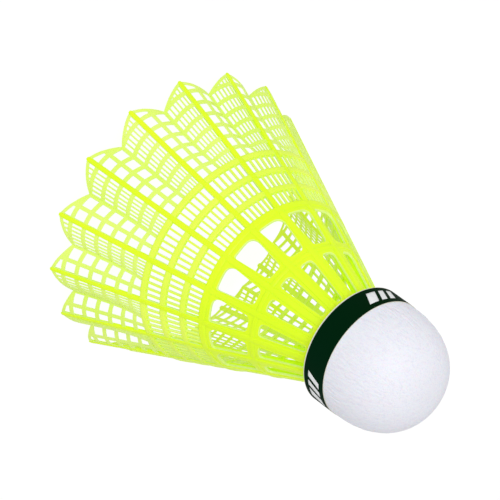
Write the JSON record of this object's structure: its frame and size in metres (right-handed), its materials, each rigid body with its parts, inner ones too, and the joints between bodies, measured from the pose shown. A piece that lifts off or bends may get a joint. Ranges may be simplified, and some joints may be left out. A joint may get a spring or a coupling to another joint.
{
  "type": "badminton shuttlecock",
  "caption": "Synthetic shuttlecock: pleated, slotted plastic skirt on a leather-covered cork with a dark tape band, standing on the tips of its skirt.",
  "frame": {"origin": "centre of the circle that the skirt's tips stand on", "axes": "+Z along the flight axis, from the skirt's open rim to the nose of the cork; +X through one rib"},
  "size_m": [0.067, 0.067, 0.0796],
  "materials": {
    "skirt_nylon": "gloss",
    "adhesive": "gloss",
    "cork": "matte",
    "cover_leather": "satin",
    "band_tape": "satin"
  },
  "bodies": {
    "root": {"rib_01": "skirt_nylon", "rib_02": "skirt_nylon", "rib_03": "skirt_nylon", "rib_04": "skirt_nylon", "rib_05": "skirt_nylon", "rib_06": "skirt_nylon", "rib_07": "skirt_nylon", "rib_08": "skirt_nylon", "rib_09": "skirt_nylon", "rib_10": "skirt_nylon", "rib_11": "skirt_nylon", "rib_12": "skirt_nylon", "rib_13": "skirt_nylon", "rib_14": "skirt_nylon", "rib_15": "skirt_nylon", "rib_16": "skirt_nylon", "feather_net_01": "skirt_nylon", "feather_net_02": "skirt_nylon", "feather_net_03": "skirt_nylon", "feather_net_04": "skirt_nylon", "feather_net_05": "skirt_nylon", "feather_net_06": "skirt_nylon", "feather_net_07": "skirt_nylon", "feather_net_08": "skirt_nylon", "feather_net_09": "skirt_nylon", "feather_net_10": "skirt_nylon", "feather_net_11": "skirt_nylon", "feather_net_12": "skirt_nylon", "feather_net_13": "skirt_nylon", "feather_net_14": "skirt_nylon", "feather_net_15": "skirt_nylon", "feather_net_16": "skirt_nylon", "lattice_band": "skirt_nylon", "window_web": "skirt_nylon", "skirt_hub": "skirt_nylon", "socket_glue": "adhesive", "cork_core": "cork", "leather_cover": "cover_leather", "head_band": "band_tape"}
  },
  "joints": []
}
